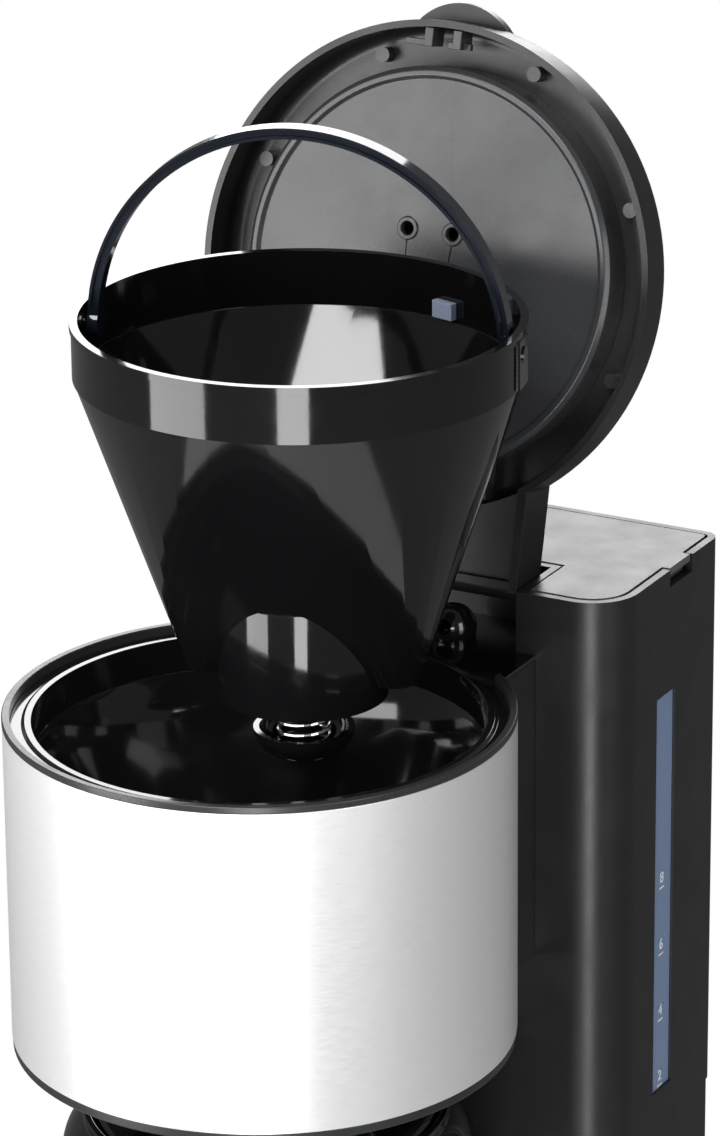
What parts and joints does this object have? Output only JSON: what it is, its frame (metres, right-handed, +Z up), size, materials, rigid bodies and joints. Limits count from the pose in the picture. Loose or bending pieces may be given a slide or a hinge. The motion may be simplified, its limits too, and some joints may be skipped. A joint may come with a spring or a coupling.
{
  "type": "drip coffee maker",
  "caption": "Drip coffee maker with a steel-banded brew head, hinged lid, lift-out cone filter basket with drip valve, rear water tower and thermal jug.",
  "frame": {"origin": "middle of the whole outline on the table, under the rubber feet", "axes": "+Z up, -Y towards the user and the jug's handle, +X towards the side with the level window"},
  "size_m": [0.164, 0.2764, 0.5139],
  "materials": {
    "black_satin": "fine satin moulded ABS",
    "black_gloss": "high-gloss moulded polypropylene",
    "dark_satin": "satin moulded plastic",
    "steel_band": "finely brushed stainless steel",
    "steel_shell": "brushed stainless steel",
    "window_blue": "clear blue-grey polycarbonate with embossed marks",
    "tank_clear": "translucent polypropylene",
    "metal_pin": "bright plated steel",
    "heater_alloy": "die-cast aluminium",
    "brass_cap": "plated cap",
    "silicone": "food-grade silicone",
    "rubber_foot": "soft rubber",
    "white_plastic": "heat-resistant white plastic",
    "lead_sheath": "silicone insulated wire"
  },
  "bodies": {
    "machine": {"base_shell": "black_satin", "base_plate": "dark_satin", "feet": "rubber_foot", "base_screws": "metal_pin", "carafe_rest": "dark_satin", "lower_tower": "black_satin", "rear_panel": "black_satin", "panel_screws": "metal_pin", "tower_shell": "black_satin", "water_tank": "tank_clear", "level_window": "window_blue", "outlet_seal": "silicone", "check_valve": "white_plastic", "cold_hose": "silicone", "flow_heater": "heater_alloy", "heater_bracket": "metal_pin", "thermostat": "brass_cap", "thermal_fuses": "white_plastic", "riser_tube": "silicone", "water_spout": "black_gloss", "switch_body": "dark_satin", "terminal_block": "white_plastic", "wiring": "lead_sheath", "cord_gland": "dark_satin", "head_shell": "black_satin", "steel_band": "steel_band", "top_ring": "dark_satin", "lower_ring": "dark_satin", "brew_bowl": "black_gloss", "hinge_pins": "metal_pin"},
    "lid": {"lid_shell": "black_satin", "lid_plate": "black_gloss", "lid_channel": "dark_satin", "lid_latch": "dark_satin", "lid_screws": "dark_satin"},
    "basket": {"basket": "black_gloss", "paper_clip": "metal_pin", "valve_spring": "metal_pin"},
    "bail": {"bail_handle": "black_gloss"},
    "drip_valve": {"valve_cup": "black_gloss", "valve_seal": "silicone"},
    "cover": {"tank_cover": "dark_satin"},
    "rocker": {"power_rocker": "dark_satin"},
    "carafe": {"carafe_shell": "steel_shell", "carafe_liner": "steel_shell", "carafe_base": "dark_satin", "carafe_collar": "black_gloss", "carafe_handle": "black_gloss", "handle_screws": "metal_pin"},
    "carafe_top": {"carafe_lid": "black_gloss", "lid_gasket": "silicone", "lever_pin": "metal_pin"},
    "lever": {"pour_lever": "black_gloss"}
  },
  "joints": [
    {"name": "lid_hinge", "type": "hinge", "parent": "machine", "child": "lid", "pos_m": [0, 0.06935, 0.3374], "axis": [1, 0, 0], "range_deg": [0, 103.5]},
    {"name": "basket_takeout", "type": "slide", "parent": "machine", "child": "basket", "axis": [0, -0.8944, 0.4472], "range_m": [0, 0.246]},
    {"name": "bail_fold", "type": "hinge", "parent": "basket", "child": "bail", "pos_m": [0.0105, -0.01865, 0.442], "axis": [0.9724, 0.2334, 0], "range_deg": [-88, 88]},
    {"name": "valve_lift", "type": "slide", "parent": "basket", "child": "drip_valve", "axis": [0, 0, 1], "range_m": [0, 0.008], "stiffness_N_per_m": 150, "springref_m": -0.002, "deforming": ["valve_spring"]},
    {"name": "cover_lift", "type": "slide", "parent": "machine", "child": "cover", "axis": [0, 0, 1], "range_m": [0, 0.025]},
    {"name": "power_rock", "type": "hinge", "parent": "machine", "child": "rocker", "pos_m": [0.0755, 0.09675, 0.072], "axis": [0, 1, 0], "range_deg": [0, 12]},
    {"name": "jug_slide", "type": "slide", "parent": "machine", "child": "carafe", "axis": [0, -1, 0], "range_m": [0, 0.15]},
    {"name": "jug_lid_turn", "type": "hinge", "parent": "carafe", "child": "carafe_top", "pos_m": [0, -0.02765, 0.194], "axis": [0, 0, 1], "range_deg": [0, 90]},
    {"name": "pour_lever_press", "type": "hinge", "parent": "carafe_top", "child": "lever", "pos_m": [0, -0.06665, 0.1904], "axis": [1, 0, 0], "range_deg": [0, 7], "stiffness_Nm_per_rad": 0.3, "springref_deg": -5.73}
  ],
  "couplings": [
    {"joint": "basket_takeout", "follows": "lid_hinge", "m_per_rad": 0.13617}
  ]
}
